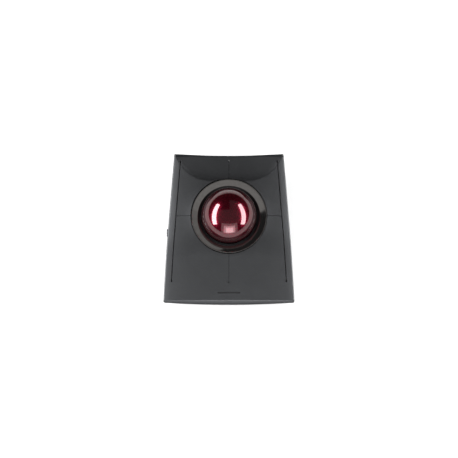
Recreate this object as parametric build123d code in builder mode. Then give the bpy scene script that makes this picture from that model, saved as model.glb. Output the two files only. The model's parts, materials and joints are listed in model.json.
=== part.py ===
"""Low wireless desk trackball: a 55 mm ball in a thin blade-shaped deck with four flexing click panels.

Frame: +X to the user's right, +Y away from the user, +Z up, millimetres. The origin is the centre of
the footprint, on the desk.
"""

import os
from math import cos, radians, sin, tan

from build123d import *

os.makedirs("parts", exist_ok=True)

# ---------------------------------------------------------------- driving dimensions
ball_d = 55.0
ball_y = 10.6
ball_z = 32.5

front_y = -75.0
front_corner_y = -73.1
rear_corner_y = 75.0
rear_hollow = 1.0
front_half_width = 65.4
rear_half_width = 55.1
corner_r = 1.6

deck_z = 32.0
deck_slope = 1.6
bend_y = -8.8
bend_r = 80.0
nose_slope = 17.0
nose_top_y = -71.4
nose_bottom_z = 5.0
chin_z = 4.0
crown_r = 840.0

crease_y = 45.9
scoop_slope = 14.0
scoop_flat = 21.0
scoop_half_width = 53.4
scoop_rise = 6.9
tail_bevel_width = 3.5
tail_bevel_slope = 28.0

rail_width = 6.6
slot_width = 0.8
seam_width = 0.35
hinge_gap = 0.15
rear_hinge_y = 67.0
front_hinge_y = -53.0
hole_r = 38.2

blade = 4.5
ledge = 2.2
ledge_tuck = 1.5
ledge_width = 7.0
ledge_front = 8.0
ledge_rear = 12.0
seam_ledge = 6.0
skin = 2.2
wall = 2.2
fit = 0.1

base_z = 1.5
floor = 1.8
base_inset = 10.0
hull_flare = 16.0

ring_outer_r = 37.8
ring_inner_r = 29.4
ring_bottom_z = 28.4
ring_top_z = 32.0
ring_inner_z = 29.8

cup_r = 28.3
cup_wall = 1.7
drain_r = 9.0
cup_flange_r = 37.2
cup_flange_z = 27.0
flange_thickness = 1.3
collar_inner_r = 32.5
collar_outer_r = 37.6
collar_z = 23.6
skirt_outer_r = 17.0
skirt_inner_r = 15.2
skirt_height = 5.2

bearing_r = 1.5
bearing_clearance = 0.05
bearing_drop = 45.0
bearing_turns = (30.0, 150.0, 270.0)

sensor_drop = 35.0
sensor_size = (11.0, 9.5, 4.0)
sensor_board_size = (15.0, 13.0, 1.2)

switch_size = (5.8, 12.8, 6.5)
switch_x = 45.0
rear_switch_y = 23.0
front_switch_y = -1.0
plunger_size = (1.6, 3.0, 1.9)
plunger_top_z = 27.0
plunger_gap = 0.05
rib_size = (3.0, 4.0)

side_board_x = 44.5
side_board_size = (9.6, 50.0, 1.6)
side_board_y = 11.0
side_board_z = 18.0
main_board_size = (66.0, 27.0, 1.6)
main_board_y = 47.5
main_board_z = 9.0
post_r = 2.6
boss_r = 3.4
side_post_y = 21.5
main_post_place = (30.0, 9.0)
pilot_r = 0.85

battery_size = (50.0, 30.0, 6.0)
battery_y = -41.0
ballast_size = (54.0, 18.0, 3.0)
lead_r = 0.75

usb_mouth = (8.34, 2.56)
usb_shell = 0.3
usb_depth = 6.2
usb_length = 7.3
usb_y = 65.6
usb_rise = 1.8

knob_y = -5.8
knob_length = 7.3
knob_height = 2.0
knob_proud = 1.0
knob_travel = 1.8
knob_z = 26.0

foot_r = 6.5
foot_recess = 0.5
foot_places = ((-41.0, -49.0), (41.0, -49.0), (-33.5, 52.5), (33.5, 52.5))
boss_places = ((-34.5, -52.5), (34.5, -52.5), (-40.4, 58.7), (40.4, 58.7))

# ---------------------------------------------------------------- derived places
ball_r = ball_d / 2
floor_z = base_z + floor
side_slope = (front_half_width - rear_half_width) / (rear_corner_y - front_corner_y)
slope = radians(deck_slope)
bend_z = deck_z + (bend_y - ball_y) * tan(slope)
bend_centre = (bend_y + bend_r * sin(slope), bend_z - bend_r * cos(slope))
nose_fall = radians(nose_slope)
bend_end_y = bend_centre[0] - bend_r * sin(nose_fall)
bend_end_z = bend_centre[1] + bend_r * cos(nose_fall)
nose_top_z = bend_end_z - (bend_end_y - nose_top_y) * tan(nose_fall)
rear_reach = rear_corner_y + 6.0
crown_z = deck_z - crown_r
crown_half_angle = 5.5
ball_centre = Vector(0, ball_y, ball_z)
hull_rise = blade + ledge + fit
switch_top_z = side_board_z + side_board_size[2] + switch_size[2]
side_posts = [
    (s * side_board_x, side_board_y + t * side_post_y) for s in (-1, 1) for t in (-1, 1)
]
main_posts = [
    (s * main_post_place[0], main_board_y + t * main_post_place[1])
    for s in (-1, 1)
    for t in (-1, 1)
]


def edge_x(y):
    """Half width of the outline at y."""
    return front_half_width - (y - front_corner_y) * side_slope


def deck_height(x, y):
    """Height of the deck over a point that lies outside the rear scoop."""
    if y >= bend_y:
        z = deck_z + (y - ball_y) * tan(slope)
    elif y >= bend_end_y:
        z = bend_centre[1] + (bend_r**2 - (bend_centre[0] - y) ** 2) ** 0.5
    else:
        z = bend_end_z - (bend_end_y - y) * tan(nose_fall)
    return z - x**2 / (2 * crown_r)


def plan_outline(inset, z):
    """The blade outline, drawn in from the edge by inset, at height z."""
    front = front_corner_y + inset
    rear = rear_corner_y - inset
    bow = front_corner_y - front_y
    with BuildSketch(Plane.XY.offset(z)) as sketch:
        with BuildLine():
            right = Line((edge_x(front) - inset, front), (edge_x(rear) - inset, rear))
            left = Line((inset - edge_x(rear), rear), (inset - edge_x(front), front))
            ThreePointArc(right @ 1, (0, rear - rear_hollow), left @ 0)
            ThreePointArc(left @ 1, (0, front - bow), right @ 0)
        make_face()
        fillet(sketch.vertices(), corner_r)
    return sketch.sketch


def deck_body(depth):
    """Everything below the deck surface, sunk by depth: crowned, nosed and scooped."""
    r = bend_r - depth
    turn = radians(crown_half_angle)
    section = Plane(
        origin=(0, 0, crown_z), x_dir=(0, 1, 0), z_dir=(cos(turn), 0, sin(turn))
    )
    bend_start = (bend_centre[0] - r * sin(slope), bend_centre[1] + r * cos(slope))
    bend_end = (bend_centre[0] - r * sin(nose_fall), bend_centre[1] + r * cos(nose_fall))
    nose_top = (nose_top_y + depth * sin(nose_fall), nose_top_z - depth * cos(nose_fall))
    rear_top = (rear_reach, bend_start[1] + (rear_reach - bend_start[0]) * tan(slope))
    nose_bottom_y = front_y + depth
    nose_mid = (
        (nose_top[0] + 2 * nose_bottom_y) / 3 - 0.1,
        (nose_top[1] + nose_bottom_z) / 2 + 0.4,
    )
    with BuildPart(mode=Mode.PRIVATE) as body:
        with BuildSketch(section):
            with BuildLine(Location((0, -crown_z, 0))):
                Line(rear_top, bend_start)
                RadiusArc(bend_start, bend_end, -r)
                Line(bend_end, nose_top)
                ThreePointArc(nose_top, nose_mid, (nose_bottom_y, nose_bottom_z))
                Polyline(
                    (nose_bottom_y, nose_bottom_z),
                    (nose_bottom_y, -5),
                    (rear_reach, -5),
                    rear_top,
                )
            make_face()
        revolve(
            axis=Axis((0, 0, crown_z), (0, 1, 0)), revolution_arc=2 * crown_half_angle
        )
        fall = radians(scoop_slope)
        scoop_plane = Plane(
            origin=(0, crease_y, deck_height(0, crease_y) - depth),
            x_dir=(1, 0, 0),
            z_dir=(0, cos(fall), -sin(fall)),
        )
        arc_run = scoop_half_width - scoop_flat
        arc_r = (arc_run**2 + scoop_rise**2) / (2 * scoop_rise)
        with BuildSketch(scoop_plane):
            with BuildLine():
                bottom = Line((-scoop_flat, 0), (scoop_flat, 0))
                RadiusArc(bottom @ 1, (scoop_half_width, -scoop_rise), arc_r)
                RadiusArc((-scoop_half_width, -scoop_rise), bottom @ 0, arc_r)
                Polyline(
                    (scoop_half_width, -scoop_rise),
                    (scoop_half_width + 6, -20),
                    (-scoop_half_width - 6, -20),
                    (-scoop_half_width, -scoop_rise),
                )
            make_face()
        extrude(amount=40, mode=Mode.SUBTRACT)
        lean = radians(tail_bevel_slope)
        bevel_y = rear_corner_y - tail_bevel_width
        bevel_plane = Plane(
            origin=(0, bevel_y, deck_height(rear_half_width, bevel_y) - depth),
            x_dir=(1, 0, 0),
            z_dir=(0, sin(lean), cos(lean)),
        )
        with BuildSketch(bevel_plane):
            Rectangle(140, 40)
        extrude(amount=20, mode=Mode.SUBTRACT)
    return body.part


deck_top = deck_body(0)
blade_bottom = deck_body(blade)
panel_bottom = deck_body(skin)
ledge_bottom = deck_body(blade + ledge)
hull_top = deck_body(hull_rise)


def box_between(low, high, mode=Mode.ADD):
    """A plain box given by its two opposite corners."""
    size = Vector(*high) - Vector(*low)
    with Locations((Vector(*low) + Vector(*high)) * 0.5):
        Box(size.X, size.Y, size.Z, mode=mode)


def slot_x(y, out):
    """Half spacing of the side slots at y: the rail's edge, plus out."""
    return edge_x(y) - rail_width + out


def panel_quad(side, near_y, far_y, seam, slot):
    """One quarter of the click area: from the middle seam to a side slot."""
    with BuildSketch(Plane.XY) as sketch:
        with BuildLine():
            Polyline(
                (side * seam, near_y),
                (side * slot_x(near_y, slot), near_y),
                (side * slot_x(far_y, slot), far_y),
                (side * seam, far_y),
                (side * seam, near_y),
            )
        make_face()
    return sketch.sketch


# ---------------------------------------------------------------- deck rim and inner frame
knob_x = -edge_x(knob_y)


def inner_outline(inset, front, rear):
    """The window between the slots, drawn in by inset, from y front to y rear."""
    with BuildSketch(Plane.XY) as sketch:
        with BuildLine():
            Polyline(
                (slot_x(front, -inset), front),
                (slot_x(rear, -inset), rear),
                (-slot_x(rear, -inset), rear),
                (-slot_x(front, -inset), front),
                (slot_x(front, -inset), front),
            )
        make_face()
    return sketch.sketch


def cut_knob_slot():
    """The slot through the left rail for the mode switch, and the pocket behind it."""
    half = knob_length / 2 + knob_travel + 0.4
    rise = knob_height / 2 + 0.3
    box_between(
        (knob_x - 2, knob_y - half, knob_z - rise),
        (knob_x + 12, knob_y + half, knob_z + rise),
        mode=Mode.SUBTRACT,
    )
    box_between(
        (knob_x + 7, knob_y - 6.5, 15), (knob_x + 14.5, knob_y + 6.5, 29), mode=Mode.SUBTRACT
    )


with BuildPart() as top_cover:
    # The visible rim: two side rails, the palm edge in front and the tail behind.
    extrude(plan_outline(0, chin_z), amount=40)
    extrude(inner_outline(0, front_hinge_y, rear_hinge_y), amount=60, mode=Mode.SUBTRACT)
    add(deck_top, mode=Mode.INTERSECT)
    add(blade_bottom, mode=Mode.SUBTRACT)
    cut_knob_slot()
top_cover.part.label = "top_cover"
export_step(top_cover.part, "parts/top_cover.step")

with BuildPart() as web:
    # The ledge under the slots and seams.
    extrude(plan_outline(rail_width - ledge_tuck, chin_z), amount=40)
    window = inner_outline(ledge_width, front_hinge_y + ledge_front, rear_hinge_y - ledge_rear)
    with BuildSketch(Plane.XY):
        add(window)
        Rectangle(seam_ledge, 160, mode=Mode.SUBTRACT)
        with Locations((0, ball_y)):
            Rectangle(120, seam_ledge, mode=Mode.SUBTRACT)
    extrude(amount=60, mode=Mode.SUBTRACT)
    add(blade_bottom, mode=Mode.INTERSECT)
    add(ledge_bottom, mode=Mode.SUBTRACT)

with BuildPart() as bosses:
    with BuildSketch(Plane.XY.offset(floor_z + 4)):
        with Locations(*boss_places):
            Circle(boss_r)
    extrude(amount=30)
    add(blade_bottom, mode=Mode.INTERSECT)

with BuildPart() as inner_frame:
    add(web.part)
    # Collar that carries the cup and the ring.
    with BuildSketch(Plane.XY.offset(collar_z)):
        with Locations((0, ball_y)):
            Circle(collar_outer_r)
    extrude(amount=cup_flange_z - fit - collar_z)
    with BuildSketch(Plane.XY):
        with Locations((0, ball_y)):
            Circle(collar_inner_r)
    extrude(amount=60, mode=Mode.SUBTRACT)
    add(bosses.part)
    with BuildSketch(Plane.XY):
        with Locations(*boss_places):
            Circle(1.2)
    extrude(amount=14, mode=Mode.SUBTRACT)
    # Openings in the ledge round the four microswitches.
    for sign in (-1, 1):
        for y in (rear_switch_y, front_switch_y):
            with Locations((sign * switch_x, y, switch_top_z - 2)):
                Box(switch_size[0] + 1.6, switch_size[1] + 1.6, 12, mode=Mode.SUBTRACT)
    with BuildSketch(Plane.XY.offset(cup_flange_z - fit)):
        with Locations((0, ball_y)):
            Circle(hole_r - fit)
    extrude(amount=20, mode=Mode.SUBTRACT)
    cut_knob_slot()
inner_frame.part.label = "inner_frame"
export_step(inner_frame.part, "parts/inner_frame.step")


# ---------------------------------------------------------------- click panels
def click_panel(side, near_y, far_y, rib_y):
    """One flexing panel: a quarter of the deck skin with a rib over its microswitch."""
    with BuildPart() as panel:
        extrude(panel_quad(side, near_y, far_y, seam_width / 2, -slot_width), amount=60)
        add(deck_top, mode=Mode.INTERSECT)
        add(panel_bottom, mode=Mode.SUBTRACT)
        rib_low = plunger_top_z + plunger_gap
        rib_high = deck_height(switch_x, rib_y) - skin / 2
        x_low, x_high = switch_x - rib_size[0] / 2, switch_x + rib_size[0] / 2
        xs = sorted((side * x_low, side * x_high))
        box_between(
            (xs[0], rib_y - rib_size[1] / 2, rib_low),
            (xs[1], rib_y + rib_size[1] / 2, rib_high),
        )
        with BuildSketch(Plane.XY):
            with Locations((0, ball_y)):
                Circle(hole_r)
        extrude(amount=60, mode=Mode.SUBTRACT)
    return panel.part


rear_span = (ball_y + seam_width / 2, rear_hinge_y - hinge_gap)
front_span = (ball_y - seam_width / 2, front_hinge_y + hinge_gap)
panels = {
    "panel_rear_left": (-1, *rear_span, rear_switch_y),
    "panel_rear_right": (1, *rear_span, rear_switch_y),
    "panel_front_left": (-1, *front_span, front_switch_y),
    "panel_front_right": (1, *front_span, front_switch_y),
}
for label, layout in panels.items():
    panel_part = click_panel(*layout)
    panel_part.label = label
    export_step(panel_part, f"parts/{label}.step")

# ---------------------------------------------------------------- lower case
with BuildPart() as lower_case:
    extrude(plan_outline(base_inset, base_z), amount=34, taper=-hull_flare)
    extrude(
        plan_outline(base_inset + wall, floor_z),
        amount=34,
        taper=-hull_flare,
        mode=Mode.SUBTRACT,
    )
    with BuildSketch(Plane.XY.offset(base_z)):
        with Locations(*boss_places):
            Circle(boss_r)
    extrude(amount=floor + 3.9)
    with BuildSketch(Plane.XY.offset(base_z)):
        with Locations(*side_posts):
            Circle(post_r)
    extrude(amount=side_board_z - base_z)
    with BuildSketch(Plane.XY.offset(base_z)):
        with Locations(*main_posts):
            Circle(post_r)
    extrude(amount=main_board_z - base_z)
    add(hull_top, mode=Mode.INTERSECT)
    with BuildSketch(Plane.XY):
        with Locations(*side_posts, *main_posts):
            Circle(pilot_r)
        with Locations((0, ball_y)):
            Circle(drain_r + 1.5)
    extrude(amount=40, mode=Mode.SUBTRACT)
    with BuildSketch(Plane.XY):
        with Locations(*foot_places):
            Circle(foot_r + fit)
    extrude(amount=base_z + foot_recess, mode=Mode.SUBTRACT)
    with BuildSketch(Plane.XY):
        with Locations(*boss_places):
            Circle(1.6)
    extrude(amount=20, mode=Mode.SUBTRACT)
    with BuildSketch(Plane.XY):
        with Locations(*boss_places):
            Circle(2.6)
    extrude(amount=floor_z + 1, mode=Mode.SUBTRACT)
    # Charging port window in the tail wall.
    box_between((-5.2, usb_y - 7, 10.4), (5.2, usb_y + 12, 14.6), mode=Mode.SUBTRACT)
lower_case.part.label = "lower_case"
export_step(lower_case.part, "parts/lower_case.step")

# ---------------------------------------------------------------- ball, cup and ring
with BuildPart() as ball:
    with Locations(ball_centre):
        Sphere(ball_r)
ball.part.label = "ball"
export_step(ball.part, "parts/ball.step")

radial = Plane(origin=(0, ball_y, 0), x_dir=(1, 0, 0), z_dir=(0, -1, 0))
ball_axis = Axis((0, ball_y, 0), (0, 0, 1))

with BuildPart() as ball_ring:
    with BuildSketch(radial):
        with BuildLine():
            Polyline(
                (ring_inner_r, ring_bottom_z),
                (ring_outer_r, ring_bottom_z),
                (ring_outer_r, ring_top_z - 0.5),
                (ring_outer_r - 0.4, ring_top_z),
                (ring_outer_r - 1.2, ring_top_z),
                (ring_inner_r, ring_inner_z),
                (ring_inner_r, ring_bottom_z),
            )
        make_face()
    revolve(axis=ball_axis)
ball_ring.part.label = "ball_ring"
export_step(ball_ring.part, "parts/ball_ring.step")


def around_ball(turn, drop, distance):
    """A plane outside the ball, facing away from its centre."""
    t, d = radians(turn), radians(drop)
    out = Vector(cos(d) * cos(t), cos(d) * sin(t), -sin(d))
    return Plane(origin=ball_centre + out * distance, x_dir=(-sin(t), cos(t), 0), z_dir=out)


sensor_turns = {"left": 180.0, "right": 0.0}
bearing_distance = ball_r + bearing_clearance + bearing_r
with BuildPart() as ball_cup:
    with BuildSketch(radial):
        with Locations((0, ball_z)):
            Circle(cup_r + cup_wall)
            Circle(cup_r, mode=Mode.SUBTRACT)
        with Locations((0, cup_flange_z + flange_thickness)):
            Rectangle(200, 80, align=(Align.CENTER, Align.MIN), mode=Mode.SUBTRACT)
        Rectangle(200, 200, align=(Align.MAX, Align.CENTER), mode=Mode.SUBTRACT)
        Rectangle(drain_r * 2, 60, mode=Mode.SUBTRACT)
        with BuildLine():
            Polyline(
                (cup_r, cup_flange_z),
                (cup_flange_r, cup_flange_z),
                (cup_flange_r, cup_flange_z + flange_thickness),
                (cup_r - 0.2, cup_flange_z + flange_thickness),
                (cup_r, cup_flange_z),
            )
        make_face()
    revolve(axis=ball_axis)
    for turn in bearing_turns:
        with BuildSketch(around_ball(turn, bearing_drop, cup_r + 0.6)):
            Circle(3.0)
        extrude(amount=3.4)
    for turn in bearing_turns:
        with BuildSketch(around_ball(turn, bearing_drop, cup_r - 2)):
            Circle(bearing_r + 0.05)
        extrude(amount=bearing_distance + bearing_r + 0.05 - cup_r + 2, mode=Mode.SUBTRACT)
    for turn in sensor_turns.values():
        with BuildSketch(around_ball(turn, sensor_drop, cup_r - 2)):
            Circle(3.6)
        extrude(amount=6, mode=Mode.SUBTRACT)
    # Skirt that stands the cup on the lower case.
    with BuildSketch(Plane.XY.offset(floor_z)):
        with Locations((0, ball_y)):
            Circle(skirt_outer_r)
            Circle(skirt_inner_r, mode=Mode.SUBTRACT)
    extrude(amount=skirt_height)
    with Locations(ball_centre):
        Sphere(cup_r, mode=Mode.SUBTRACT)
ball_cup.part.label = "ball_cup"
export_step(ball_cup.part, "parts/ball_cup.step")

with BuildPart() as support_bearings:
    for turn in bearing_turns:
        with Locations(around_ball(turn, bearing_drop, bearing_distance).origin):
            Sphere(bearing_r)
support_bearings.part.label = "support_bearings"
export_step(support_bearings.part, "parts/support_bearings.step")

for side, turn in sensor_turns.items():
    with BuildPart() as lens:
        with BuildSketch(around_ball(turn, sensor_drop, cup_r + 0.5)):
            Circle(3.4)
        extrude(amount=2.9)
    lens.part.label = f"sensor_lens_{side}"
    export_step(lens.part, f"parts/sensor_lens_{side}.step")

    sensor_start = cup_r + 3.5
    with BuildPart() as sensor:
        with BuildSketch(around_ball(turn, sensor_drop, sensor_start)):
            Rectangle(sensor_size[0], sensor_size[1])
        extrude(amount=sensor_size[2])
    sensor.part.label = f"motion_sensor_{side}"
    export_step(sensor.part, f"parts/motion_sensor_{side}.step")

    with BuildPart() as sensor_board:
        with BuildSketch(around_ball(turn, sensor_drop, sensor_start + sensor_size[2])):
            Rectangle(sensor_board_size[0], sensor_board_size[1])
        extrude(amount=sensor_board_size[2])
    sensor_board.part.label = f"sensor_board_{side}"
    export_step(sensor_board.part, f"parts/sensor_board_{side}.step")

# ---------------------------------------------------------------- boards and switches
with BuildPart() as main_board:
    with BuildSketch(Plane.XY.offset(main_board_z)):
        with Locations((0, main_board_y)):
            RectangleRounded(main_board_size[0], main_board_size[1], 2)
        with Locations(*main_posts):
            Circle(1.1, mode=Mode.SUBTRACT)
    extrude(amount=main_board_size[2])
main_board.part.label = "main_board"
export_step(main_board.part, "parts/main_board.step")

main_top = main_board_z + main_board_size[2]
with BuildPart() as radio_module:
    box_between((-8, main_board_y - 6, main_top), (6, main_board_y + 6, main_top + 2.2))
    fillet(radio_module.edges().filter_by(Axis.Z), 0.6)
radio_module.part.label = "radio_module"
export_step(radio_module.part, "parts/radio_module.step")

port_plane = Plane(origin=(0, usb_y, main_top + usb_rise), x_dir=(1, 0, 0), z_dir=(0, -1, 0))
with BuildPart() as usb_port:
    with BuildSketch(port_plane):
        SlotOverall(usb_mouth[0] + 2 * usb_shell, usb_mouth[1] + 2 * usb_shell)
    extrude(amount=usb_length)
    with BuildSketch(port_plane):
        SlotOverall(*usb_mouth)
    extrude(amount=usb_depth, mode=Mode.SUBTRACT)
    box_between((-3.3, usb_y - 6.4, main_top + 1.45), (3.3, usb_y - 1.0, main_top + 2.15))
    box_between((-4.0, usb_y - 8.0, main_top), (4.0, usb_y - 4.2, main_top + 0.6))
usb_port.part.label = "usb_port"
export_step(usb_port.part, "parts/usb_port.step")

with BuildPart() as battery_socket:
    socket_y = main_board_y - 8.5
    box_between((-27.0, socket_y, main_top), (-21.0, socket_y + 5.0, main_top + 3.0))
    box_between(
        (-26.0, socket_y - 1.5, main_top + 0.8),
        (-22.0, socket_y + 3.3, main_top + 2.4),
        mode=Mode.SUBTRACT,
    )
battery_socket.part.label = "battery_socket"
export_step(battery_socket.part, "parts/battery_socket.step")

side_top = side_board_z + side_board_size[2]
for side, sign in (("left", -1), ("right", 1)):
    with BuildPart() as switch_board:
        with BuildSketch(Plane.XY.offset(side_board_z)):
            with Locations((sign * side_board_x, side_board_y)):
                RectangleRounded(side_board_size[0], side_board_size[1], 1.5)
            if side == "left":
                # Tab that carries the slide switch.
                with Locations((knob_x + 10.2, knob_y)):
                    Rectangle(3.2, 9)
            with Locations(*[p for p in side_posts if p[0] * sign > 0]):
                Circle(1.1, mode=Mode.SUBTRACT)
        extrude(amount=side_board_size[2])
    switch_board.part.label = f"switch_board_{side}"
    export_step(switch_board.part, f"parts/switch_board_{side}.step")

    for end, y in (("rear", rear_switch_y), ("front", front_switch_y)):
        x = sign * switch_x
        with BuildPart() as microswitch:
            box_between(
                (x - switch_size[0] / 2, y - switch_size[1] / 2, side_top),
                (x + switch_size[0] / 2, y + switch_size[1] / 2, switch_top_z),
            )
            fillet(microswitch.edges().filter_by(Axis.Z), 0.5)
            box_between(
                (x - plunger_size[0] / 2 - fit, y - plunger_size[1] / 2 - fit, switch_top_z - 2.2),
                (x + plunger_size[0] / 2 + fit, y + plunger_size[1] / 2 + fit, switch_top_z + 1),
                mode=Mode.SUBTRACT,
            )
        microswitch.part.label = f"microswitch_{end}_{side}"
        export_step(microswitch.part, f"parts/microswitch_{end}_{side}.step")

        with BuildPart() as plunger:
            box_between(
                (x - plunger_size[0] / 2, y - plunger_size[1] / 2, plunger_top_z - plunger_size[2]),
                (x + plunger_size[0] / 2, y + plunger_size[1] / 2, plunger_top_z),
            )
            fillet(plunger.edges().filter_by(Axis.Y).group_by(Axis.Z)[-1], 0.4)
        plunger.part.label = f"plunger_{end}_{side}"
        export_step(plunger.part, f"parts/plunger_{end}_{side}.step")

# ---------------------------------------------------------------- mode switch
track_x = knob_x + 10.0
with BuildPart() as slide_switch:
    box_between((track_x - 1.8, knob_y - 4.6, side_top), (track_x + 1.8, knob_y + 4.6, 26.6))
    box_between(
        (track_x - 0.9, knob_y - 3.4, 24.0), (track_x + 0.9, knob_y + 3.4, 28.0), mode=Mode.SUBTRACT
    )
    box_between(
        (track_x - 2.0, knob_y - 3.4, 25.1), (track_x, knob_y + 3.4, 28.0), mode=Mode.SUBTRACT
    )
slide_switch.part.label = "slide_switch"
export_step(slide_switch.part, "parts/slide_switch.step")

with BuildPart() as mode_knob:
    half = knob_length / 2
    box_between(
        (knob_x - knob_proud, knob_y - half, knob_z - knob_height / 2),
        (knob_x + 1.6, knob_y + half, knob_z + knob_height / 2),
    )
    fillet(mode_knob.edges().group_by(Axis.X)[0], 0.5)
    for groove in (-1, 0, 1):
        box_between(
            (knob_x - knob_proud - 1, knob_y + groove * 1.7 - 0.3, knob_z - 2),
            (knob_x - knob_proud + 0.45, knob_y + groove * 1.7 + 0.3, knob_z + 2),
            mode=Mode.SUBTRACT,
        )
    box_between((knob_x + 1.6, knob_y - 1.2, 25.3), (track_x + 0.7, knob_y + 1.2, 26.4))
    box_between((track_x - 0.7, knob_y - 1.2, 24.3), (track_x + 0.7, knob_y + 1.2, 25.3))
mode_knob.part.label = "mode_knob"
export_step(mode_knob.part, "parts/mode_knob.step")

# ---------------------------------------------------------------- battery, ballast, feet, fasteners
with BuildPart() as battery:
    with BuildSketch(Plane.XY.offset(floor_z)):
        with Locations((0, battery_y)):
            RectangleRounded(battery_size[0], battery_size[1], 3)
    extrude(amount=battery_size[2])
    fillet(battery.edges().group_by(Axis.Z)[-1], 1.2)
battery.part.label = "battery"
export_step(battery.part, "parts/battery.step")

lead_route = [
    (-20, battery_y + battery_size[1] / 2, 6.5),
    (-20, -18, 6.5),
    (-30, -11, 6.5),
    (-38.3, -2, 6.5),
    (-38.3, 9, 6.5),
    (-38.3, 20, 7),
    (-34, 28, 12.2),
    (-24, 34, 12.2),
    (-24, socket_y + 3.1, 12.2),
]
with BuildPart() as battery_lead:
    with BuildLine() as lead_path:
        FilletPolyline(*lead_route, radius=4.0)
    with BuildSketch(Plane(origin=lead_path.line @ 0, z_dir=lead_path.line % 0)):
        Circle(lead_r)
    sweep(path=lead_path.line)
battery_lead.part.label = "battery_lead"
export_step(battery_lead.part, "parts/battery_lead.step")

with BuildPart() as ballast_plate:
    with BuildSketch(Plane.XY.offset(floor_z)):
        with Locations((0, main_board_y)):
            RectangleRounded(ballast_size[0], ballast_size[1], 1.5)
    extrude(amount=ballast_size[2])
ballast_plate.part.label = "ballast_plate"
export_step(ballast_plate.part, "parts/ballast_plate.step")

with BuildPart() as feet:
    with BuildSketch(Plane.XY):
        with Locations(*foot_places):
            Circle(foot_r)
    extrude(amount=base_z + foot_recess)
    fillet(feet.edges().group_by(Axis.Z)[0], 0.4)
feet.part.label = "feet"
export_step(feet.part, "parts/feet.step")

with BuildPart() as case_screws:
    with BuildSketch(Plane.XY.offset(base_z + 0.6)):
        with Locations(*boss_places):
            Circle(2.4)
    extrude(amount=floor_z + 1 - base_z - 0.6)
    with BuildSketch(Plane.XY.offset(floor_z + 1)):
        with Locations(*boss_places):
            Circle(1.15)
    extrude(amount=8)
    with BuildSketch(Plane.XY.offset(base_z + 0.6)):
        with Locations(*boss_places):
            RegularPolygon(1.1, 6)
    extrude(amount=1.2, mode=Mode.SUBTRACT)
case_screws.part.label = "case_screws"
export_step(case_screws.part, "parts/case_screws.step")

with BuildPart() as board_screws:
    for places, seat_z in ((side_posts, side_top), (main_posts, main_top)):
        with BuildSketch(Plane.XY.offset(seat_z)):
            with Locations(*places):
                Circle(1.6)
        extrude(amount=1.1)
        with BuildSketch(Plane.XY.offset(seat_z)):
            with Locations(*places):
                Circle(0.8)
        extrude(amount=-6)
board_screws.part.label = "board_screws"
export_step(board_screws.part, "parts/board_screws.step")
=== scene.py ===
"""Looks of the desk trackball: deck skins, ring, ball, materials, floor, light and camera."""

import json
import math

import bpy
import numpy as np
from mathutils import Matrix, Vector
from mathutils.geometry import delaunay_2d_cdt


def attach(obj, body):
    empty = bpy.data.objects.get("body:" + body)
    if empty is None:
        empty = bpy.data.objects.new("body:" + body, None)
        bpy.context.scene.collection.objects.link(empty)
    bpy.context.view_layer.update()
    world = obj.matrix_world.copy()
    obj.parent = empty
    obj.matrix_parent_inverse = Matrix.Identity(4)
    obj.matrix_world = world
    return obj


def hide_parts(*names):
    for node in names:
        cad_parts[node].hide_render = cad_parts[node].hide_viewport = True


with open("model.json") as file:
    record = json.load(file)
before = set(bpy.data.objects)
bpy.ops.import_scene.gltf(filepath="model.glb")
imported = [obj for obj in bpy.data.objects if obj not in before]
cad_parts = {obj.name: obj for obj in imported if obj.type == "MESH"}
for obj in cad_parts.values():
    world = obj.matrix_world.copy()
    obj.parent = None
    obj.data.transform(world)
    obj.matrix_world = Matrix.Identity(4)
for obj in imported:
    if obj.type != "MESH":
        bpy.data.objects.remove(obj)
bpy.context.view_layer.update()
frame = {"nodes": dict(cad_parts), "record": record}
nodes = frame["nodes"]
MM = 0.001

# ---------------------------------------------------------------- sizes, in millimetres
BALL_Y = 10.6
BALL_Z = 32.5
BALL_R = 27.5

FRONT_CORNER_Y = -73.1
FRONT_BOW = 1.9
REAR_CORNER_Y = 75.0
REAR_HOLLOW = 1.05
FRONT_HALF_WIDTH = 65.4
REAR_HALF_WIDTH = 55.1
CORNER_R = 1.6
SIDE_SLOPE = (FRONT_HALF_WIDTH - REAR_HALF_WIDTH) / (REAR_CORNER_Y - FRONT_CORNER_Y)

DECK_Z = 32.0
DECK_SLOPE = math.tan(math.radians(1.6))
BEND_Y = -8.8
BEND_R = 80.0
NOSE_SLOPE = math.radians(17)
SHOULDER = 1.1
SHOULDER_REACH = 9.0
CROWN_R = 840.0
FLANK_START = 31.0
FLANK_R = 500.0
BLADE = 4.5
SKIN = 2.2

RAIL = 6.6
RAIL_DROP = 0.4
SLOT = 0.8
SEAM = 0.35
DOT_R = 0.75
SEAM_DOT_R = 0.55
REAR_HINGE_Y = 66.6
FRONT_HINGE_Y = -53.0
REAR_DOT_Y = 67.9
FRONT_DOT_Y = -54.7
HOLE_R = 38.0

LIP_LINE_Y = -71.6
LIP_START = math.radians(48)

CREASE_Y = 45.5
CREASE_RISE = 24.5
CREASE_HALF = 52.4
CREASE_POWER = 4.2
SCOOP_DEPTH = 7.1
SCOOP_HALF = 55.0
REAR_EDGE_BEVEL = math.radians(30)
BEVEL_MIDDLE = 1.35
BEVEL_CORNER_EXTRA = 2.3


def edge_x(y):
    """Half width of the outline at y."""
    return FRONT_HALF_WIDTH - (y - FRONT_CORNER_Y) * SIDE_SLOPE


def smooth_min_zero(u, width):
    """max(u, 0) with its corner rounded over width."""
    return 0.5 * (u + np.sqrt(u * u + width * width))


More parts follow.
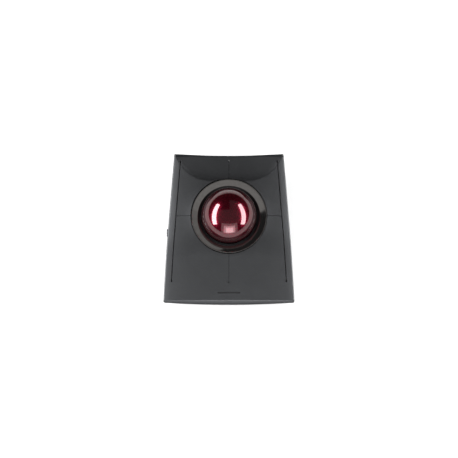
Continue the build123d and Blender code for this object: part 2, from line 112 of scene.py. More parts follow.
def deck_base(x, y):
    """The crowned deck before its scoop, lip, rails and tail bevel are cut."""
    start = math.atan(DECK_SLOPE)
    bend_z = DECK_Z + (BEND_Y - BALL_Y) * DECK_SLOPE
    cy = BEND_Y + BEND_R * math.sin(start)
    cz = bend_z - BEND_R * math.cos(start)
    end_y = cy - BEND_R * math.sin(NOSE_SLOPE)
    end_z = cz + BEND_R * math.cos(NOSE_SLOPE)
    flat = DECK_Z + (y - BALL_Y) * DECK_SLOPE
    bent = cz + np.sqrt(np.maximum(BEND_R**2 - (cy - y) ** 2, 1.0))
    nose = end_z - (end_y - y) * math.tan(NOSE_SLOPE)
    z = np.where(y >= BEND_Y, flat, np.where(y >= end_y, bent, nose))
    flank = smooth_min_zero(np.abs(x) - FLANK_START, 6.0)
    return z - x * x / (2 * CROWN_R) - flank**2 / (2 * FLANK_R)


def shoulder(x, y):
    """At the ball's sides the deck rises a little, up to the edge of the ring's hole."""
    r = np.hypot(x, y - BALL_Y)
    side = (x / np.maximum(r, 1.0)) ** 2
    return SHOULDER * side * np.exp(-np.maximum(r - HOLE_R, 0) / SHOULDER_REACH)


def front_edge(x):
    """The outline's front line."""
    return FRONT_CORNER_Y - FRONT_BOW * (1 - (x / FRONT_HALF_WIDTH) ** 2)


def rear_edge(x):
    """The outline's rear line."""
    return REAR_CORNER_Y - REAR_HOLLOW * (1 - (x / REAR_HALF_WIDTH) ** 2)


def crease_row(x):
    """The scoop's crease."""
    return CREASE_Y + CREASE_RISE * (np.abs(x) / CREASE_HALF) ** CREASE_POWER


def scoop(x, y):
    """How far the tail is hollowed below the deck."""
    ax = np.abs(x)
    crease = crease_row(x)
    u = smooth_min_zero(y - crease, 0.3)
    reach = np.maximum(REAR_CORNER_Y - crease, 1.0)
    depth = SCOOP_DEPTH * np.maximum(1 - (ax / SCOOP_HALF) ** 2, 0)
    t = u / reach
    shape = 0.46 * t + 0.54 * (1 - np.exp(-t / 0.27)) / (1 - math.exp(-1 / 0.27))
    return depth * shape


def rail_drop(x, y):
    """The rails outside the slots lean gently outward."""
    out = np.abs(x) - (edge_x(y) - RAIL)
    return RAIL_DROP * (smooth_min_zero(out, 1.0) / RAIL) ** 1.5


def lip_drop(x, y):
    """The palm edge turns down over a crisp line and ends upright."""
    width = np.maximum(LIP_LINE_Y - front_edge(x), 0.4)
    t = np.clip((LIP_LINE_Y - y) / width, 0, 1)
    s0 = math.sin(LIP_START)
    s = np.minimum(s0 + t * (1 - s0), 1.0)
    radius = width / (1 - s0)
    return radius * (math.cos(LIP_START) - np.sqrt(1 - s * s))


def tail_bevel(x, y):
    """The tail's edge is bevelled, widely at the corners and narrowly in the middle."""
    width = BEVEL_MIDDLE + BEVEL_CORNER_EXTRA * (np.abs(x) / REAR_HALF_WIDTH) ** 3
    into = y - (rear_edge(x) - width)
    slope = math.tan(REAR_EDGE_BEVEL)
    return slope * np.clip(smooth_min_zero(into, 0.3), 0, 6)


def deck_top(x, y):
    """Height of the finished deck surface."""
    z = deck_base(x, y) + shoulder(x, y)
    return z - scoop(x, y) - rail_drop(x, y) - lip_drop(x, y) - tail_bevel(x, y)


def deck_normals(x, y, step=0.02):
    """Unit normals of the finished deck surface."""
    dx = (deck_top(x + step, y) - deck_top(x - step, y)) / (2 * step)
    dy = (deck_top(x, y + step) - deck_top(x, y - step)) / (2 * step)
    n = np.stack([-dx, -dy, np.ones_like(dx)], axis=1)
    return n / np.linalg.norm(n, axis=1)[:, None]


# ---------------------------------------------------------------- outlines
def run(a, b, roll, pitch=1.2):
    """Points from a towards b, b left out, each with its edge radius."""
    a, b = np.array(a, float), np.array(b, float)
    count = max(1, int(round(np.linalg.norm(b - a) / pitch)))
    return [(*(a + (b - a) * i / count), roll) for i in range(count)]


def arc(centre, r, start, end, roll, pitch=1.2):
    """Points on a circle from angle start to end in degrees, end left out."""
    count = max(4, int(round(abs(math.radians(end - start)) * r / pitch)))
    angles = [math.radians(start + (end - start) * i / count) for i in range(count)]
    return [(centre[0] + r * math.cos(a), centre[1] + r * math.sin(a), roll) for a in angles]


def mirrored(points):
    """The same outline on the other side, still anticlockwise."""
    return [(-x, y, roll) for x, y, roll in reversed(points)]


SLOT_MID = RAIL + SLOT / 2
NOTCH = math.degrees(math.acos(SLOT / 2 / DOT_R))
SEAM_NOTCH = math.degrees(math.asin(SEAM / 2 / SEAM_DOT_R))
EDGE_ROLL = 0.03
HOLE_ROLL = 0.12


def panel_outline(front):
    """The right-hand click panel, anticlockwise."""
    hinge_y = FRONT_HINGE_Y if front else REAR_HINGE_Y
    way = 1 if front else -1
    seam = SEAM / 2
    mid_x = edge_x(hinge_y) - SLOT_MID
    notch_y = hinge_y + way * DOT_R * math.sin(math.radians(NOTCH))
    cross_y = BALL_Y - way * seam
    slot_low = (edge_x(notch_y) - RAIL - SLOT, notch_y)
    slot_high = (edge_x(cross_y) - RAIL - SLOT, cross_y)
    turn = math.degrees(math.asin(seam / HOLE_R))
    points = run((seam, hinge_y), (mid_x - DOT_R, hinge_y), 0.0)
    points += arc((mid_x, hinge_y), DOT_R, 180, 180 - way * NOTCH, EDGE_ROLL, 0.2)
    points += run(slot_low, slot_high, EDGE_ROLL)
    points += run(slot_high, (HOLE_R, cross_y), EDGE_ROLL)
    points += arc((0, BALL_Y), HOLE_R, -way * turn, -way * (90 - turn), HOLE_ROLL, 0.9)
    points += run((seam, BALL_Y - way * HOLE_R), (seam, hinge_y), EDGE_ROLL)
    return points if front else points[::-1]


def window_outline():
    """The rim's inner edge, anticlockwise, with the round ends of the slots and seams."""
    seam = SEAM / 2
    right = []
    mid = edge_x(FRONT_HINGE_Y) - SLOT_MID
    top_mid = edge_x(REAR_HINGE_Y) - SLOT_MID
    notch = DOT_R * math.sin(math.radians(NOTCH))
    seam_in = SEAM_DOT_R * math.cos(math.radians(SEAM_NOTCH))
    right += arc((0, FRONT_DOT_Y), SEAM_DOT_R, -90, 90 - SEAM_NOTCH, EDGE_ROLL, 0.2)
    right += run((seam, FRONT_DOT_Y + seam_in), (seam, FRONT_HINGE_Y), EDGE_ROLL, 0.4)
    right += run((seam, FRONT_HINGE_Y), (mid - DOT_R, FRONT_HINGE_Y), 0.0)
    right += arc((mid, FRONT_HINGE_Y), DOT_R, -180, NOTCH, EDGE_ROLL, 0.2)
    low = (edge_x(FRONT_HINGE_Y + notch) - RAIL, FRONT_HINGE_Y + notch)
    high = (edge_x(REAR_HINGE_Y - notch) - RAIL, REAR_HINGE_Y - notch)
    right += run(low, high, EDGE_ROLL)
    right += arc((top_mid, REAR_HINGE_Y), DOT_R, -NOTCH, 180, EDGE_ROLL, 0.2)
    right += run((top_mid - DOT_R, REAR_HINGE_Y), (seam, REAR_HINGE_Y), 0.0)
    right += run((seam, REAR_HINGE_Y), (seam, REAR_DOT_Y - seam_in), EDGE_ROLL, 0.4)
    right += arc((0, REAR_DOT_Y), SEAM_DOT_R, -90 + SEAM_NOTCH, 90, EDGE_ROLL, 0.2)
    return right + mirrored(right)


def rim_outline():
    """The deck's outer edge, anticlockwise."""
    roll = 1.0
    right = []
    xs = np.linspace(0, FRONT_HALF_WIDTH - CORNER_R, 60)[:-1]
    right += [(x, front_edge(x), 0.0) for x in xs]
    corner = (FRONT_HALF_WIDTH - CORNER_R, FRONT_CORNER_Y + CORNER_R)
    right += arc(corner, CORNER_R, -88, -4, 0.5, 0.25)
    right += run((edge_x(-71), -71), (edge_x(73.6), 73.6), roll)
    corner = (REAR_HALF_WIDTH - 0.9, REAR_CORNER_Y - 0.9)
    right += arc(corner, 0.9, 4, 84, 0.3, 0.25)
    xs = np.linspace(REAR_HALF_WIDTH - 1.4, 0, 50)[:-1]
    right += [(x, rear_edge(x), 0.3) for x in xs]
    return right + mirrored(right[1:])


# ---------------------------------------------------------------- meshes
ROW_GAP = 0.12


def lip_row(x):
    """The line over which the palm edge turns down."""
    return LIP_LINE_Y + 0 * x


def inward(points):
    """Unit inward normals of a closed anticlockwise outline."""
    p = np.array([q[:2] for q in points])
    before, after = np.roll(p, 1, axis=0), np.roll(p, -1, axis=0)

    def left_of(d):
        d = d / np.maximum(np.linalg.norm(d, axis=1), 1e-9)[:, None]
        return np.stack([-d[:, 1], d[:, 0]], axis=1)

    a, b = left_of(p - before), left_of(after - p)
    n = a + b
    length = np.maximum(np.linalg.norm(n, axis=1), 0.3)
    n = n / length[:, None]
    stretch = 1 / np.maximum((n * a).sum(1), 0.5)
    return n * np.minimum(stretch, 1.5)[:, None]


def inside(px, py, loop):
    """Which points lie inside a closed loop."""
    x, y = loop[:, 0], loop[:, 1]
    x2, y2 = np.roll(x, -1), np.roll(y, -1)
    hit = np.zeros(len(px), bool)
    for a, b, c, d in zip(x, y, x2, y2):
        if b == d:
            continue
        crosses = ((b > py) != (d > py)) & (px < (c - a) * (py - b) / (d - b) + a)
        hit ^= crosses
    return hit


def far_from(px, py, loop, gap):
    """Which points are further than gap from a loop's points."""
    ok = np.ones(len(px), bool)
    for x, y in loop:
        ok &= (px - x) ** 2 + (py - y) ** 2 > gap * gap
    return ok


def skin(name, outer, holes, offsets, pitch, bottom, rows=(), lift=0.0):
    """A closed shell over a plan outline: rolled edges, a fine top, upright walls and a back."""
    loops = []
    for k, outline in enumerate([outer] + holes):
        sign = 1.0 if k == 0 else -1.0
        p = np.array([q[:2] for q in outline])
        roll = np.array([q[2] for q in outline])
        loops.append((p, roll, inward(outline) * sign))

    xs, ys, zs, normals = [], [], [], []
    top_faces = []
    index = 0
    inner_loops = []
    edge_rings = []
    for k, (p, roll, n) in enumerate(loops):
        count = len(p)
        rings = []
        for d in offsets:
            q = p + n * d
            safe = np.maximum(roll, 1e-6)
            tilt = np.arcsin(np.clip((safe - d) / safe, 0, 1))
            tilt = np.where(roll > 0, tilt, 0)
            drop = np.where(roll > 0, roll * (1 - np.cos(tilt)), 0)
            z = deck_top(q[:, 0], q[:, 1]) - drop + lift
            up = deck_normals(q[:, 0], q[:, 1])
            out = np.concatenate([-n, np.zeros((count, 1))], axis=1)
            out /= np.linalg.norm(out, axis=1)[:, None]
            m = up * np.cos(tilt)[:, None] + out * np.sin(tilt)[:, None]
            m /= np.linalg.norm(m, axis=1)[:, None]
            xs.append(q[:, 0])
            ys.append(q[:, 1])
            zs.append(z)
            normals.append(m)
            rings.append(np.arange(index, index + count))
            index += count
        for a, b in zip(rings[:-1], rings[1:]):
            for i in range(count):
                j = (i + 1) % count
                quad = (a[i], a[j], b[j], b[i])
                top_faces.append(quad if k == 0 else quad[::-1])
        inner_loops.append((p + n * offsets[-1], rings[-1]))
        edge_rings.append(rings[0])

    # The middle is a fine even grid joined to the innermost rings.
    outer_in = inner_loops[0][0]
    low, high = outer_in.min(0), outer_in.max(0)
    gx, gy = np.meshgrid(np.arange(low[0], high[0], pitch), np.arange(low[1], high[1], pitch))
    gx, gy = gx.ravel(), gy.ravel()
    for row in rows:
        keep = np.abs(gy - row(gx)) > ROW_GAP + pitch * 0.4
        line = np.arange(low[0], high[0], pitch)
        gx = np.concatenate([gx[keep], line, line])
        gy = np.concatenate([gy[keep], row(line) - ROW_GAP, row(line) + ROW_GAP])
    keep = inside(gx, gy, outer_in)
    for loop, _ in inner_loops[1:]:
        keep &= ~inside(gx, gy, loop)
    gx, gy = gx[keep], gy[keep]
    for loop, _ in inner_loops:
        keep = far_from(gx, gy, loop, pitch * 0.45)
        gx, gy = gx[keep], gy[keep]

    seeds, edges, source = [], [], []
    for loop, ring in inner_loops:
        start = len(seeds)
        seeds += [Vector(q) for q in loop]
        source += list(ring)
        edges += [(start + i, start + (i + 1) % len(loop)) for i in range(len(loop))]
    grid_start = index
    seeds += [Vector(q) for q in zip(gx, gy)]
    source += list(range(grid_start, grid_start + len(gx)))
    index += len(gx)
    verts, _, faces, origins, _, _ = delaunay_2d_cdt(seeds, edges, [], 0, 1e-5, True)
    target = [source[o[0]] if o else -1 for o in origins]
    cx = np.array([sum(verts[i].x for i in f) / 3 for f in faces])
    cy = np.array([sum(verts[i].y for i in f) / 3 for f in faces])
    keep = inside(cx, cy, outer_in)
    for loop, _ in inner_loops[1:]:
        keep &= ~inside(cx, cy, loop)
    for f, wanted in zip(faces, keep):
        if wanted and all(target[i] >= 0 for i in f):
            a, b, c = (verts[i] for i in f)
            if (b - a).cross(c - a) < 0:
                f = f[::-1]
            top_faces.append(tuple(target[i] for i in f))
    xs.append(gx)
    ys.append(gy)
    zs.append(deck_top(gx, gy) + lift)
    normals.append(deck_normals(gx, gy))

    x, y, z = (np.concatenate(part) for part in (xs, ys, zs))
    n = np.concatenate(normals)
    total = len(x)
    low_z = np.minimum(bottom(x, y), z - 0.15)
    co = np.concatenate([np.stack([x, y, z], 1), np.stack([x, y, low_z], 1)]) * MM
    faces = list(top_faces)
    faces += [tuple(i + total for i in f[::-1]) for f in top_faces]
    for k, ring in enumerate(edge_rings):
        count = len(ring)
        for i in range(count):
            j = (i + 1) % count
            quad = (ring[i], ring[i] + total, ring[j] + total, ring[j])
            faces.append(quad if k == 0 else quad[::-1])
    mesh = bpy.data.meshes.new(name)
    mesh.from_pydata(co.tolist(), [], [tuple(int(i) for i in f) for f in faces])
    mesh.update()
    wall_start = 2 * len(top_faces)
    split = []
    for poly in mesh.polygons:
        poly.use_smooth = True
        for v in poly.vertices:
            if poly.index < len(top_faces):
                split.append(tuple(n[v]))
            elif poly.index < wall_start:
                split.append((0.0, 0.0, -1.0))
            else:
                split.append(tuple(poly.normal))
    mesh.normals_split_custom_set(split)
    thing = bpy.data.objects.new(name, mesh)
    bpy.context.scene.collection.objects.link(thing)
    return thing


def revolve(name, profile, segments, centre):
    """A ring turned from a closed (radius, height) profile about a vertical axis."""
    count = len(profile)
    co, faces = [], []
    for s in range(segments):
        a = 2 * math.pi * s / segments
        for r, z in profile:
            co.append(((centre[0] + r * math.cos(a)) * MM, (centre[1] + r * math.sin(a)) * MM, z * MM))
    for s in range(segments):
        t = (s + 1) % segments
        for i in range(count):
            j = (i + 1) % count
            faces.append((s * count + i, t * count + i, t * count + j, s * count + j))
    mesh = bpy.data.meshes.new(name)
    mesh.from_pydata(co, [], faces)
    mesh.update()
    for poly in mesh.polygons:
        poly.use_smooth = True
    mesh.set_sharp_from_angle(angle=math.radians(30))
    thing = bpy.data.objects.new(name, mesh)
    bpy.context.scene.collection.objects.link(thing)
    return thing


# ---------------------------------------------------------------- materials
def new_material(name):
    """A node material with a Principled shader; returns it with its tree and shader."""
    material = bpy.data.materials.new(name)
    material.use_nodes = True
    tree = material.node_tree
    shader = tree.nodes["Principled BSDF"]
    return material, tree, shader


def coordinates(tree, scale):
    """Object coordinates, in units of 1/scale metres."""
    place = tree.nodes.new("ShaderNodeTexCoord")
    mapping = tree.nodes.new("ShaderNodeMapping")
    mapping.inputs["Scale"].default_value = (scale, scale, scale)
    tree.links.new(place.outputs["Object"], mapping.inputs["Vector"])
    return mapping.outputs["Vector"]


def noise(tree, scale, detail=3.0, rough=0.5):
    """Noise over the object, with features about 1/scale metres wide."""
    node = tree.nodes.new("ShaderNodeTexNoise")
    node.inputs["Scale"].default_value = 1.0
    node.inputs["Detail"].default_value = detail
    node.inputs["Roughness"].default_value = rough
    tree.links.new(coordinates(tree, scale), node.inputs["Vector"])
    return node.outputs["Fac"]


def remap(tree, value, low, high, start=0.3, end=0.7):
    """A value of start..end spread over low..high."""
    node = tree.nodes.new("ShaderNodeMapRange")
    node.inputs["From Min"].default_value = start
    node.inputs["From Max"].default_value = end
    node.inputs["To Min"].default_value = low
    node.inputs["To Max"].default_value = high
    tree.links.new(value, node.inputs["Value"])
    return node.outputs["Result"]


def two_tone(tree, value, dark, light):
    """A colour between dark and light."""
    node = tree.nodes.new("ShaderNodeMix")
    node.data_type = "RGBA"
    node.inputs["A"].default_value = (*dark, 1.0)
    node.inputs["B"].default_value = (*light, 1.0)
    tree.links.new(value, node.inputs["Factor"])
    return node.outputs["Result"]


def bump(tree, shader, height, distance, strength=1.0):
    """Surface relief of distance metres."""
    node = tree.nodes.new("ShaderNodeBump")
    node.inputs["Distance"].default_value = distance
    node.inputs["Strength"].default_value = strength
    tree.links.new(height, node.inputs["Height"])
    tree.links.new(node.outputs["Normal"], shader.inputs["Normal"])
    return node


def plastic(
    name, color, roughness, grain=2600, relief=0.000012, spread=0.12, metallic=0.0, gloss=0.5, rim=1.0
):
    """Moulded surface with spark texture, faint colour drift and patchy sheen.

    gloss is the specular level, and rim tints the specular (at the edges, where metallic is 1).
    """
    material, tree, shader = new_material(name)
    drift = noise(tree, 60, 4)
    dark = tuple(c * (1 - spread) for c in color)
    light = tuple(c * (1 + spread) for c in color)
    tree.links.new(two_tone(tree, remap(tree, drift, 0, 1), dark, light), shader.inputs["Base Color"])
    sheen = noise(tree, 900, 2)
    tree.links.new(
        remap(tree, sheen, roughness - 0.03, roughness + 0.03), shader.inputs["Roughness"]
    )
    shader.inputs["Metallic"].default_value = metallic
    shader.inputs["Specular IOR Level"].default_value = gloss
    shader.inputs["Specular Tint"].default_value = (rim, rim, rim, 1)
    bump(tree, shader, noise(tree, grain, 2, 0.6), relief)
    return material


def metal(name, color, roughness, brushed=(1, 1, 1), relief=0.000004):
    """Metal with fine scratches along one direction."""
    material, tree, shader = new_material(name)
    shader.inputs["Metallic"].default_value = 1.0
    place = tree.nodes.new("ShaderNodeTexCoord")
    mapping = tree.nodes.new("ShaderNodeMapping")
    mapping.inputs["Scale"].default_value = tuple(1500 * b for b in brushed)
    tree.links.new(place.outputs["Object"], mapping.inputs["Vector"])
    grain = tree.nodes.new("ShaderNodeTexNoise")
    grain.inputs["Scale"].default_value = 1.0
    grain.inputs["Detail"].default_value = 3.0
    tree.links.new(mapping.outputs["Vector"], grain.inputs["Vector"])
    dark = tuple(c * 0.8 for c in color)
    tree.links.new(two_tone(tree, grain.outputs["Fac"], dark, color), shader.inputs["Base Color"])
    tree.links.new(
        remap(tree, grain.outputs["Fac"], roughness - 0.06, roughness + 0.08),
        shader.inputs["Roughness"],
    )
    bump(tree, shader, grain.outputs["Fac"], relief)
    return material


def ball_material():
    """Candy red: fine metal flake in dark red resin under a polished clear coat."""
    material, tree, shader = new_material("ball_resin")
    flakes = tree.nodes.new("ShaderNodeTexVoronoi")
    flakes.inputs["Scale"].default_value = 1.0
    tree.links.new(coordinates(tree, 3800), flakes.inputs["Vector"])
    split = tree.nodes.new("ShaderNodeSeparateColor")
    tree.links.new(flakes.outputs["Color"], split.inputs["Color"])
    tone = two_tone(tree, split.outputs["Red"], (0.012, 0.001, 0.002), (0.11, 0.003, 0.012))
    tree.links.new(tone, shader.inputs["Base Color"])
    shader.inputs["Metallic"].default_value = 0.85
    tree.links.new(
        remap(tree, split.outputs["Green"], 0.20, 0.30, 0, 1), shader.inputs["Roughness"]
    )
    shader.inputs["IOR"].default_value = 1.5
    shader.inputs["Coat Weight"].default_value = 1.0
    shader.inputs["Coat Roughness"].default_value = 0.015
    shader.inputs["Coat IOR"].default_value = 1.5
    shader.inputs["Specular Tint"].default_value = (0.20, 0.008, 0.02, 1)
    bump(tree, shader, split.outputs["Blue"], 0.000006, 0.6)
    return material


def ring_material():
    """Smoked bright finish of the ring, with faint turned lines."""
    material, tree, shader = new_material("ring_gloss")
    drift = noise(tree, 300, 3)
    tree.links.new(
        two_tone(tree, remap(tree, drift, 0, 1), (0.48, 0.455, 0.435), (0.54, 0.515, 0.495)),
        shader.inputs["Base Color"],
    )
    shader.inputs["Metallic"].default_value = 1.0
    tree.links.new(remap(tree, drift, 0.05, 0.09), shader.inputs["Roughness"])
    bump(tree, shader, noise(tree, 1800, 2), 0.000002)
    return material


def board_material():
    """Green solder mask with faint copper tracks under it."""
    material, tree, shader = new_material("circuit_board")
    tracks = tree.nodes.new("ShaderNodeTexBrick")
    tracks.inputs["Scale"].default_value = 1.0
    tracks.inputs["Mortar Size"].default_value = 0.12
    tracks.inputs["Color1"].default_value = (0.010, 0.085, 0.035, 1)
    tracks.inputs["Color2"].default_value = (0.012, 0.100, 0.042, 1)
    tracks.inputs["Mortar"].default_value = (0.030, 0.160, 0.070, 1)
    tree.links.new(coordinates(tree, 420), tracks.inputs["Vector"])
    tree.links.new(tracks.outputs["Color"], shader.inputs["Base Color"])
    tree.links.new(remap(tree, noise(tree, 500), 0.25, 0.4), shader.inputs["Roughness"])
    bump(tree, shader, tracks.outputs["Fac"], 0.00003, 0.6)
    return material


def glass_material():
    """Clear moulded window of a sensor."""
    material, tree, shader = new_material("lens_clear")
    shader.inputs["Base Color"].default_value = (0.9, 0.92, 0.95, 1)
    shader.inputs["Transmission Weight"].default_value = 1.0
    shader.inputs["IOR"].default_value = 1.49
    tree.links.new(remap(tree, noise(tree, 400), 0.02, 0.08), shader.inputs["Roughness"])
    return material


# The deck uses a dark metallic shader, tinted at the edges so that it doesn't glare from the sides.
DECK_COLOR = (0.068, 0.0695, 0.0726)
FINISHES = {
    "deck_plastic": plastic(
        "deck_plastic", DECK_COLOR, 0.42, relief=0.000008, spread=0.04, metallic=1.0, rim=0.35
    ),
    "case_plastic": plastic("case_plastic", (0.022, 0.022, 0.024), 0.5, 1800, 0.00002),
    "ball_resin": ball_material(),
    "ring_gloss": ring_material(),
    "inner_plastic": plastic("inner_plastic", (0.009, 0.009, 0.0095), 0.5, gloss=0.12),
    "bearing_ceramic": plastic("bearing_ceramic", (0.80, 0.78, 0.74), 0.12, 900, 0.000002, 0.04),
    "lens_clear": glass_material(),
    "chip_black": plastic("chip_black", (0.018, 0.018, 0.019), 0.35),
    "circuit_board": board_material(),
    "shield_metal": metal("shield_metal", (0.62, 0.62, 0.60), 0.3, (1, 0.1, 1)),
    "port_steel": metal("port_steel", (0.55, 0.55, 0.56), 0.25, (1, 0.1, 1)),
    "connector_white": plastic("connector_white", (0.76, 0.73, 0.66), 0.4),
    "switch_body": plastic("switch_body", (0.045, 0.045, 0.05), 0.4),
    "plunger_red": plastic("plunger_red", (0.45, 0.035, 0.025), 0.35),
    "knob_plastic": plastic("knob_plastic", (0.030, 0.031, 0.033), 0.4),
    "battery_wrap": plastic("battery_wrap", (0.33, 0.34, 0.37), 0.25, 700, 0.00004),
    "lead_sleeve": plastic("lead_sleeve", (0.30, 0.018, 0.018), 0.35),
    "ballast_steel": metal("ballast_steel", (0.42, 0.42, 0.41), 0.4, (0.1, 1, 1)),
    "foot_rubber": plastic("foot_rubber", (0.024, 0.024, 0.024), 0.75, 1500, 0.00004),
    "screw_steel": metal("screw_steel", (0.38, 0.38, 0.39), 0.3),
}


def dress(thing, slot):
    """Gives a piece the finish of a record slot."""
    thing.data.materials.clear()
    thing.data.materials.append(FINISHES[slot])


for part in frame["record"]["subparts"]:
    dress(nodes[part["node"]], part["material_slot"])
    for poly in nodes[part["node"]].data.polygons:
        poly.material_index = 0

# ---------------------------------------------------------------- deck
PANEL_OFFSETS = (0.0, 0.03, 0.1, 0.2, 0.34, 0.55, 0.9)
RIM_OFFSETS = (0.0, 0.03, 0.1, 0.2, 0.34, 0.6, 1.0)


def panel_bottom(x, y):
    """The back of the thin click panels."""
    return deck_top(x, y) - SKIN


def rim_bottom(x, y):
    """The underside of the blade, rising behind the palm lip."""
    lip_line = front_edge(x)
    chin = deck_top(x, lip_line + 0.02) - 0.6
    behind = chin + (y - lip_line) * 1.2
    return np.minimum(deck_base(x, y) - BLADE, behind)


QUARTERS = {
    "front_right": (True, False),
    "front_left": (True, True),
    "rear_right": (False, False),
    "rear_left": (False, True),
}
for quarter, (front, flip) in QUARTERS.items():
    outline = panel_outline(front)
    if flip:
        outline = mirrored(outline)
    rows = () if front else (crease_row,)
    panel = skin(f"click_panel_{quarter}", outline, [], PANEL_OFFSETS, 1.0, panel_bottom, rows)
    dress(panel, "deck_plastic")
    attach(panel, f"panel_{quarter}")
    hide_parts(f"panel_{quarter}")

rim = skin(
    "deck_shell",
    rim_outline(),
    [window_outline()],
    RIM_OFFSETS,
    1.0,
    rim_bottom,
    (crease_row, lip_row),
)
dress(rim, "deck_plastic")
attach(rim, "housing")
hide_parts("top_cover")

# A plain inlaid bar near the palm edge.
MARK_HALF = 10.6
MARK_R = 0.75
MARK_Y = -64.4
bar = arc((MARK_HALF, MARK_Y), MARK_R, -90, 90, 0.0, 0.2)
bar += run((MARK_HALF, MARK_Y + MARK_R), (-MARK_HALF, MARK_Y + MARK_R), 0.0)
bar += arc((-MARK_HALF, MARK_Y), MARK_R, 90, 270, 0.0, 0.2)
bar += run((-MARK_HALF, MARK_Y - MARK_R), (MARK_HALF, MARK_Y - MARK_R), 0.0)
mark = skin("deck_mark", bar, [], (0.0, 0.1), 0.3, panel_bottom, (), 0.02)
dress(mark, "inner_plastic")
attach(mark, "housing")

# Dark bars that close the bottoms of the two middle seams and their round ends: painted shade,
# standing in for the shadow down in the slits.
SHADE_HALF = 0.13
SHADE_DROP = -0.5


def make_painted_seam_shade(name, dot_y, ring_y):
    """A narrow dark bar from the round end of a seam to the ring, painted shade inside the seam."""
    way = 1 if ring_y > dot_y else -1
    reach = abs(ring_y - dot_y)
    radius = SEAM_DOT_R - 0.03
    gap = math.degrees(math.asin(SHADE_HALF / radius))
    neck = radius * math.cos(math.radians(gap))
    bar = arc((0, 0), radius, 90 + gap, 450 - gap, 0.0, 0.12)
    bar += run((SHADE_HALF, neck), (SHADE_HALF, reach), 0.0, 0.4)
    bar += run((SHADE_HALF, reach), (-SHADE_HALF, reach), 0.0, 0.1)
    bar += run((-SHADE_HALF, reach), (-SHADE_HALF, neck), 0.0, 0.4)
    bar = [(way * x, dot_y + way * y, roll) for x, y, roll in bar]
    shade = skin(name, bar, [], (0.0, 0.05), 0.3, panel_bottom, (), SHADE_DROP)
    # The bar's dark inner plastic is painted shade in the seam.
    dress(shade, "inner_plastic")
    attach(shade, "housing")


make_painted_seam_shade("painted_seam_shade_front", FRONT_DOT_Y, BALL_Y - HOLE_R - 0.2)
make_painted_seam_shade("painted_seam_shade_rear", REAR_DOT_Y, BALL_Y + HOLE_R + 0.2)

# The track in which the mode slider runs, let into the left rail.
KNOB_Y = -5.8
TRACK_HALF = 5.9
TRACK_Z = (24.8, 27.2)


def make_track():
    """A thin dark plate with round ends, just proud of the rail's side."""
    rise = (TRACK_Z[1] - TRACK_Z[0]) / 2
    middle = (TRACK_Z[0] + TRACK_Z[1]) / 2
    ends = []
    for sign in (1, -1):
        for i in range(9):
            a = math.radians(-90 + 180 * i / 8)
            y = KNOB_Y + sign * (TRACK_HALF - rise + rise * math.cos(a))
            ends.append((y, middle + sign * rise * math.sin(a)))
    count = len(ends)
    co = []
    for out in (0.04, -0.5):
        co += [((-edge_x(y) - out) * MM, y * MM, z * MM) for y, z in ends]
    faces = [tuple(range(count)), tuple(range(2 * count - 1, count - 1, -1))]
    for i in range(count):
        j = (i + 1) % count
        faces.append((i, i + count, j + count, j))
    mesh = bpy.data.meshes.new("knob_track")
    mesh.from_pydata(co, [], faces)
    mesh.update()
    thing = bpy.data.objects.new("knob_track", mesh)
    bpy.context.scene.collection.objects.link(thing)
    return thing


track = make_track()
dress(track, "inner_plastic")
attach(track, "housing")

# ---------------------------------------------------------------- ring and ball
RING_PROFILE = (
    (30.7, 28.5),
    (37.3, 28.5),
    (37.4, 31.36),
    (37.38, 31.44),
    (37.3, 31.46),
    (36.72, 31.46),
    (36.62, 31.42),
    (36.5, 31.26),
    (36.35, 31.2),
    (36.1, 31.17),
    (31.15, 30.48),
    (30.8, 30.35),
    (30.7, 30.1),
)
SEAL_PROFILE = (
    (29.0, 28.4),
    (30.7, 28.4),
    (30.7, 29.9),
    (30.5, 29.85),
    (29.2, 29.0),
    (29.0, 28.6),
)
ring = revolve("ring_bezel", RING_PROFILE, 256, (0, BALL_Y))
dress(ring, "ring_gloss")
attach(ring, "housing")
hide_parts("ball_ring")
seal = revolve("ring_seal", SEAL_PROFILE, 256, (0, BALL_Y))
dress(seal, "inner_plastic")
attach(seal, "housing")


def make_ball():
    """A finely divided sphere."""
    mesh = bpy.data.meshes.new("ball_polished")
    rows, columns = 96, 160
    co = [(0, BALL_Y * MM, (BALL_Z - BALL_R) * MM)]
    for i in range(1, rows):
        a = math.pi * i / rows
        for j in range(columns):
            b = 2 * math.pi * j / columns
            x = BALL_R * math.sin(a) * math.cos(b)
            y = BALL_Y + BALL_R * math.sin(a) * math.sin(b)
            co.append((x * MM, y * MM, (BALL_Z - BALL_R * math.cos(a)) * MM))
    co.append((0, BALL_Y * MM, (BALL_Z + BALL_R) * MM))
    faces = [(0, 1 + (j + 1) % columns, 1 + j) for j in range(columns)]
    for i in range(rows - 2):
        a, b = 1 + i * columns, 1 + (i + 1) * columns
        for j in range(columns):
            k = (j + 1) % columns
            faces.append((a + j, a + k, b + k, b + j))
    last = 1 + (rows - 2) * columns
    top = len(co) - 1
    faces += [(top, last + j, last + (j + 1) % columns) for j in range(columns)]
    mesh.from_pydata(co, [], faces)
    mesh.update()
    for poly in mesh.polygons:
        poly.use_smooth = True
    thing = bpy.data.objects.new("ball_polished", mesh)
    bpy.context.scene.collection.objects.link(thing)
    return thing


ball = make_ball()
dress(ball, "ball_resin")
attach(ball, "ball")
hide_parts("ball")

# ---------------------------------------------------------------- floor, light and camera
FLOOR_HALF = 6.0
GLOW = 0.42
GLOW_NEAR = 0.33
GLOW_FAR = 0.8


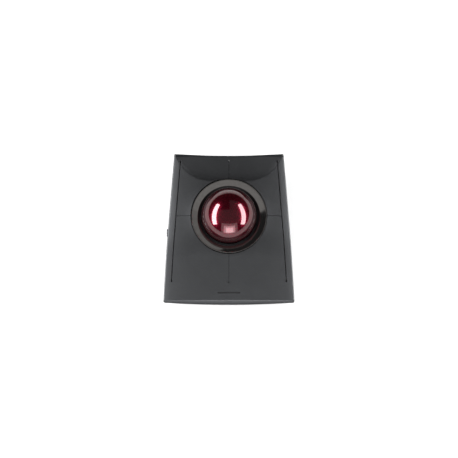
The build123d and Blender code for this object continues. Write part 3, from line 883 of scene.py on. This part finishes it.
def make_floor():
    """A pale floor with a faint glow of its own, which halves with distance from the object."""
    mesh = bpy.data.meshes.new("studio_floor")
    corners = [(-1, -1), (1, -1), (1, 1), (-1, 1)]
    mesh.from_pydata([(x * FLOOR_HALF, y * FLOOR_HALF, 0) for x, y in corners], [], [(0, 1, 2, 3)])
    material, tree, shader = new_material("studio_floor")
    shader.inputs["Base Color"].default_value = (0.42, 0.42, 0.42, 1)
    shader.inputs["Roughness"].default_value = 1.0
    shader.inputs["Specular IOR Level"].default_value = 0.0
    shader.inputs["Emission Strength"].default_value = GLOW
    far = tree.nodes.new("ShaderNodeVectorMath")
    far.operation = "LENGTH"
    tree.links.new(tree.nodes.new("ShaderNodeTexCoord").outputs["Object"], far.inputs[0])
    fall = remap(tree, far.outputs["Value"], 1.0, 0.5, GLOW_NEAR, GLOW_FAR)
    tree.links.new(fall, shader.inputs["Emission Color"])
    mesh.materials.append(material)
    thing = bpy.data.objects.new("studio_floor", mesh)
    bpy.context.scene.collection.objects.link(thing)
    return thing


floor = make_floor()

world = bpy.data.worlds.new("studio")
bpy.context.scene.world = world
world.use_nodes = True
world.node_tree.nodes["Background"].inputs["Color"].default_value = (0.95, 0.97, 1.0, 1)
world.node_tree.nodes["Background"].inputs["Strength"].default_value = 0.02


def card(name, corners, radiance):
    """A flat light given by three of its corners, turned to the ball; hidden from the camera."""
    a, b, c = (Vector(p) for p in corners)
    data = bpy.data.lights.new(name, "AREA")
    data.shape = "RECTANGLE"
    x_side, y_side = b - a, c - b
    data.size, data.size_y = x_side.length, y_side.length
    data.energy = radiance * data.size * data.size_y * math.pi
    light = bpy.data.objects.new(name, data)
    x_axis = x_side.normalized()
    y_axis = (y_side - x_axis * y_side.dot(x_axis)).normalized()
    z_axis = x_axis.cross(y_axis)
    centre = a + x_side / 2 + y_side / 2
    if z_axis.dot(Vector((0, 0.01, 0.03)) - centre) > 0:
        x_axis, z_axis = -x_axis, -z_axis
    matrix = light.matrix_world.to_3x3()
    for i, axis in enumerate((x_axis, y_axis, z_axis)):
        matrix.col[i] = axis
    light.matrix_world = matrix.to_4x4()
    light.location = centre
    light.visible_camera = False
    bpy.context.scene.collection.objects.link(light)


card("front_core", ((-0.18, -1.0, 0.08), (0.26, -1.0, 0.08), (0.26, -0.88, 0.46)), 5.0)
card("front_mid", ((-0.30, -1.01, 0.03), (0.38, -1.01, 0.03), (0.38, -0.76, 0.54)), 3.0)
card("front_box", ((-0.46, -1.02, 0.02), (0.54, -1.02, 0.02), (0.54, -0.62, 0.62)), 1.3)
card("left_strip", ((-0.86, -0.55, 0.10), (-0.86, 0.75, 0.62), (-0.72, 0.72, 0.90)), 21.0)
card("right_strip", ((0.86, -0.55, 0.10), (0.86, 0.75, 0.62), (0.72, 0.72, 0.90)), 15.5)
card("top_front", ((-1.5, -1.3, 1.1), (1.5, -1.3, 1.1), (1.5, 0.22, 1.1)), 0.22)
card("top_rear", ((0.06, 0.22, 1.1), (1.5, 0.22, 1.1), (1.5, 1.4, 1.1)), 0.17)

TILT = math.radians(12)
DISTANCE = 0.943
LENS = 74.0
aim = Vector((0.0001, -0.0005, 0.020))
camera_data = bpy.data.cameras.new("camera")
camera_data.lens = LENS
camera_data.sensor_width = 36.0
camera = bpy.data.objects.new("camera", camera_data)
camera.location = aim + Vector((0, -math.sin(TILT), math.cos(TILT))) * DISTANCE
camera.rotation_euler = (TILT, 0, 0)
bpy.context.scene.collection.objects.link(camera)
bpy.context.scene.camera = camera
bpy.context.scene.view_settings.view_transform = "Standard"
